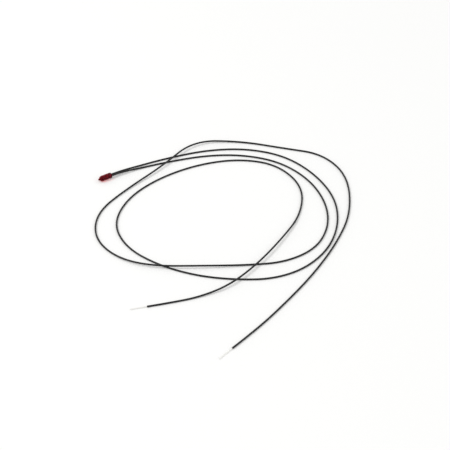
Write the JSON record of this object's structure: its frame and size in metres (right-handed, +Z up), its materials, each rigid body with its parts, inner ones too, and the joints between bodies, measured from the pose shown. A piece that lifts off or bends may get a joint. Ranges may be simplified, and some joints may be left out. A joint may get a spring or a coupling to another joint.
{
  "type": "miniature incandescent bulb",
  "caption": "Small red wire-ended filament lamp with a domed glass envelope and long black insulated leads in a loose coil, bare and tinned at the ends.",
  "frame": {"origin": "on the surface that the lamp lies on, midway between the glass tip and the ends of the lead-in wires", "axes": "X along the lamp's axis, with the domed tip at -X and the leads leaving at +X; +Z up from the surface"},
  "size_m": [0.1429, 0.1415, 0.003],
  "materials": {
    "red_glass": "clear red, fire polished",
    "bead_glass": "fused",
    "lead_in_metal": "copper-plated nickel iron",
    "tungsten": "drawn wire",
    "solder": "satin",
    "black_pvc": "satin extruded sleeve",
    "tinned_copper": "bright tinned strands"
  },
  "bodies": {
    "root": {"glass_envelope": "red_glass", "stem_bead": "bead_glass", "lead_in_wire_a": "lead_in_metal", "lead_in_wire_b": "lead_in_metal", "filament": "tungsten", "solder_joint_a": "solder", "solder_joint_b": "solder", "lead_a": "black_pvc", "lead_b": "black_pvc", "tinned_end_a": "tinned_copper", "tinned_end_b": "tinned_copper"}
  },
  "joints": []
}
